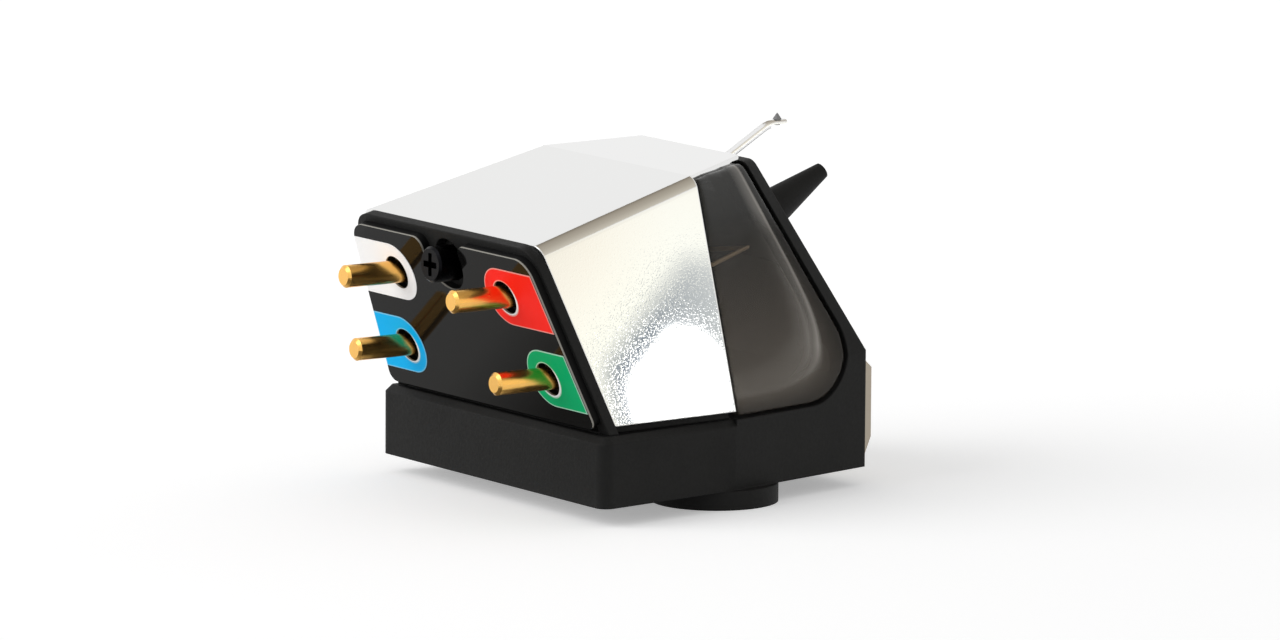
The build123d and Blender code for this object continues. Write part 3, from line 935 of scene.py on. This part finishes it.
def felt_flag(tree):
    """Brown-grey felt over the part, paler to the near side: a soft streak in the cover's fold."""
    place = add_node(tree, "ShaderNodeTexCoord").outputs["Object"]
    upwards = add_node(tree, "ShaderNodeSeparateXYZ", {"Vector": place}).outputs["Y"]
    share = add_node(
        tree, "ShaderNodeMapRange", {"Value": upwards, "From Min": -FLAG_REACH, "From Max": FLAG_REACH}
    )
    tone = add_node(tree, "ShaderNodeValToRGB", {"Fac": share.outputs["Result"]})
    tone.color_ramp.elements[0].color = linear("#f6f1e4")
    tone.color_ramp.elements[1].color = linear("#7d7468")
    for position, colour in ((0.3, "#d6cfc1"), (0.5, "#bdb5a7"), (0.75, "#a89f91")):
        tone.color_ramp.elements.new(position).color = linear(colour)
    return add_node(tree, "ShaderNodeEmission", {"Color": tone.outputs["Color"]}).outputs["Emission"]


def dark_felt(tree):
    """Dark felt laid behind the part, paler to the left: it keeps the floor out of the plate's gloss."""
    place = add_node(tree, "ShaderNodeTexCoord").outputs["Object"]
    leftwards = add_node(tree, "ShaderNodeSeparateXYZ", {"Vector": place}).outputs["Y"]
    share = add_node(
        tree,
        "ShaderNodeMapRange",
        {"Value": leftwards, "From Min": -FELT_LENGTH / 2, "From Max": FELT_LENGTH / 2},
    )
    tone = add_node(tree, "ShaderNodeValToRGB", {"Fac": share.outputs["Result"]})
    tone.color_ramp.elements[0].position = 0.4
    tone.color_ramp.elements[0].color = linear("#6e6c68")
    tone.color_ramp.elements[1].color = linear("#f4f4f4")
    tone.color_ramp.elements.new(0.62).color = linear("#dedcd8")
    return add_node(tree, "ShaderNodeEmission", {"Color": tone.outputs["Color"]}).outputs["Emission"]


def card(name, middle, normal, width, height, material):
    """Flat card that only reflections show, its own x along the part and its own y across it."""
    along = (Vector((0, 1, 0)) - normal * normal.y).normalized()
    across = normal.cross(along)
    bpy.ops.object.select_all(action="DESELECT")
    bpy.ops.mesh.primitive_plane_add(size=1)
    made = bpy.context.object
    made.name = name
    made.scale = (width, height, 1)
    bpy.ops.object.transform_apply(location=False, rotation=False, scale=True)
    made.matrix_world = Matrix.Translation(middle) @ Matrix((along, across, normal)).transposed().to_4x4()
    made.data.materials.append(material)
    made.visible_camera = False
    made.visible_diffuse = False
    made.visible_transmission = False
    made.visible_shadow = False


def mirrored(normal, towards):
    """Direction in which a surface shows what the lens sees."""
    return 2 * normal.dot(towards) * normal - towards


# Floor
bpy.ops.object.select_all(action="DESELECT")
bpy.ops.mesh.primitive_plane_add(size=FLOOR_SIZE)
floor = bpy.context.object
floor.name = "floor"
floor.data.materials.append(new_material("Paper, seamless white", seamless_paper))

# Room
world = bpy.data.worlds.new("White studio")
bpy.context.scene.world = world
world.use_nodes = True
world.node_tree.nodes.clear()
glow = add_node(
    world.node_tree,
    "ShaderNodeMapRange",
    {"Value": seen_directly(world.node_tree), "To Min": ROOM_LIGHT, "To Max": 1.0},
)
background = add_node(
    world.node_tree,
    "ShaderNodeBackground",
    {"Color": (1, 1, 1, 1), "Strength": glow.outputs["Result"]},
)
add_node(world.node_tree, "ShaderNodeOutputWorld", {"Surface": background.outputs["Background"]})

# Lamp
bpy.ops.object.light_add(type="AREA", location=KEY_PLACE)
key = bpy.context.object
key.name = "key_softbox"
key.data.shape = "DISK"
key.data.size = KEY_SIZE
key.data.energy = KEY_POWER
key.rotation_euler = (KEY_AIM - key.location).to_track_quat("-Z", "Y").to_euler()

# Camera
turn = radians(CAMERA_AZIMUTH)
lift = radians(CAMERA_ELEVATION)
roll = radians(CAMERA_ROLL)
back = Vector((sin(turn) * cos(lift), -cos(turn) * cos(lift), sin(lift)))
level = Vector((cos(turn), sin(turn), 0))
upright = back.cross(level)
right = level * cos(roll) + upright * sin(roll)
top = upright * cos(roll) - level * sin(roll)
bpy.ops.object.camera_add()
camera = bpy.context.object
camera.data.sensor_width = 36
camera.data.sensor_fit = "HORIZONTAL"
camera.data.lens = CAMERA_LENS
eye = CAMERA_AIM + right * CAMERA_SLIDE + top * CAMERA_LIFT + back * CAMERA_DISTANCE
camera.matrix_world = Matrix.Translation(eye) @ Matrix((right, top, back)).transposed().to_4x4()
bpy.context.scene.camera = camera

# Cards
card(
    "side_card",
    SIDE_CENTRE + mirrored(SIDE_NORMAL, back) * CARD_DISTANCE,
    SIDE_NORMAL,
    CARD_SIZE,
    CARD_SIZE,
    new_material("Card, cream", toned_card),
)
above_fold = mirrored(FOLD_NORMAL.normalized(), back)
card(
    "fold_flag",
    SIDE_CENTRE + above_fold * FLAG_DISTANCE,
    above_fold,
    FLAG_WIDTH,
    2 * FLAG_REACH,
    new_material("Felt, brown-grey", felt_flag),
)
card(
    "floor_felt",
    FELT_PLACE,
    Vector((0, 0, 1)),
    FELT_WIDTH,
    FELT_LENGTH,
    new_material("Felt, dark grey", dark_felt),
)

bpy.context.scene.view_settings.view_transform = "Standard"
